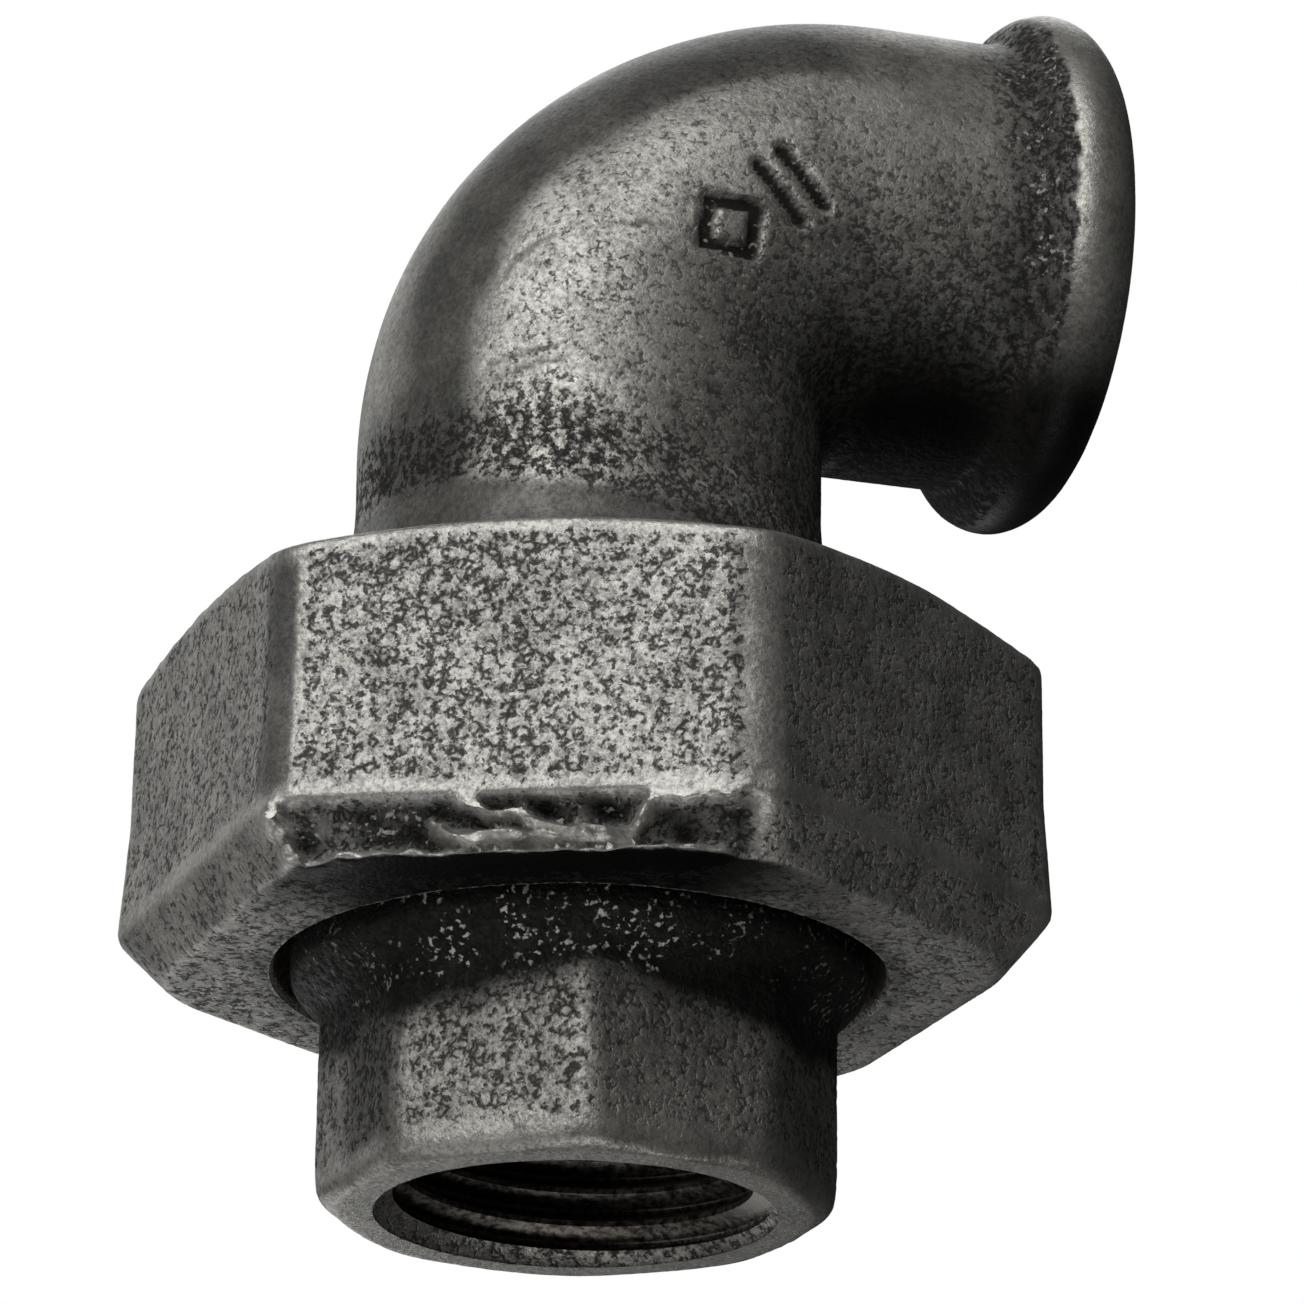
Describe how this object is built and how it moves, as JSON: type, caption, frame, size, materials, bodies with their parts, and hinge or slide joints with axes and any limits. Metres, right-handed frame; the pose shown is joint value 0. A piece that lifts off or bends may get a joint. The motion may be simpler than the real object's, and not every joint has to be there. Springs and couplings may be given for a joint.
{
  "type": "pipe union elbow",
  "caption": "Right-angle union elbow for threaded half-inch pipe: beaded elbow, hexagonal union nut and octagonal tail piece in dark malleable iron.",
  "frame": {"origin": "centre of the tail piece's end face, on the union's axis, where the pipe enters", "axes": "+Z along the union's axis towards the elbow, +X the way the outlet points"},
  "size_m": [0.0509, 0.05, 0.0724],
  "materials": {
    "tail_iron": "as-cast malleable iron, dark oxide skin, speckled, semi-gloss",
    "nut_iron": "as-cast malleable iron, heavily speckled light flecks over dark pits",
    "elbow_iron": "as-cast malleable iron, smoother dark skin with a soft shine",
    "gasket_rubber": "matte black sealing rubber"
  },
  "bodies": {
    "tail": {"tail_piece": "tail_iron"},
    "gasket": {"flat_gasket": "gasket_rubber"},
    "nut": {"union_nut": "nut_iron"},
    "elbow": {"elbow_body": "elbow_iron"}
  },
  "joints": [
    {"name": "elbow_swivel", "type": "hinge", "parent": "tail", "child": "gasket", "pos_m": [0, 0, 0.0209], "axis": [0, 0, 1], "continuous": true},
    {"name": "nut_spin", "type": "hinge", "parent": "gasket", "child": "nut", "pos_m": [0, 0, 0.0128], "axis": [0, 0, -1], "range_deg": [0, 1080]},
    {"name": "elbow_lift", "type": "slide", "parent": "gasket", "child": "elbow", "axis": [0, 0, 1], "range_m": [0, 0.00693]}
  ],
  "couplings": [
    {"joint": "elbow_lift", "follows": "nut_spin", "m_per_rad": 0.0003675}
  ]
}
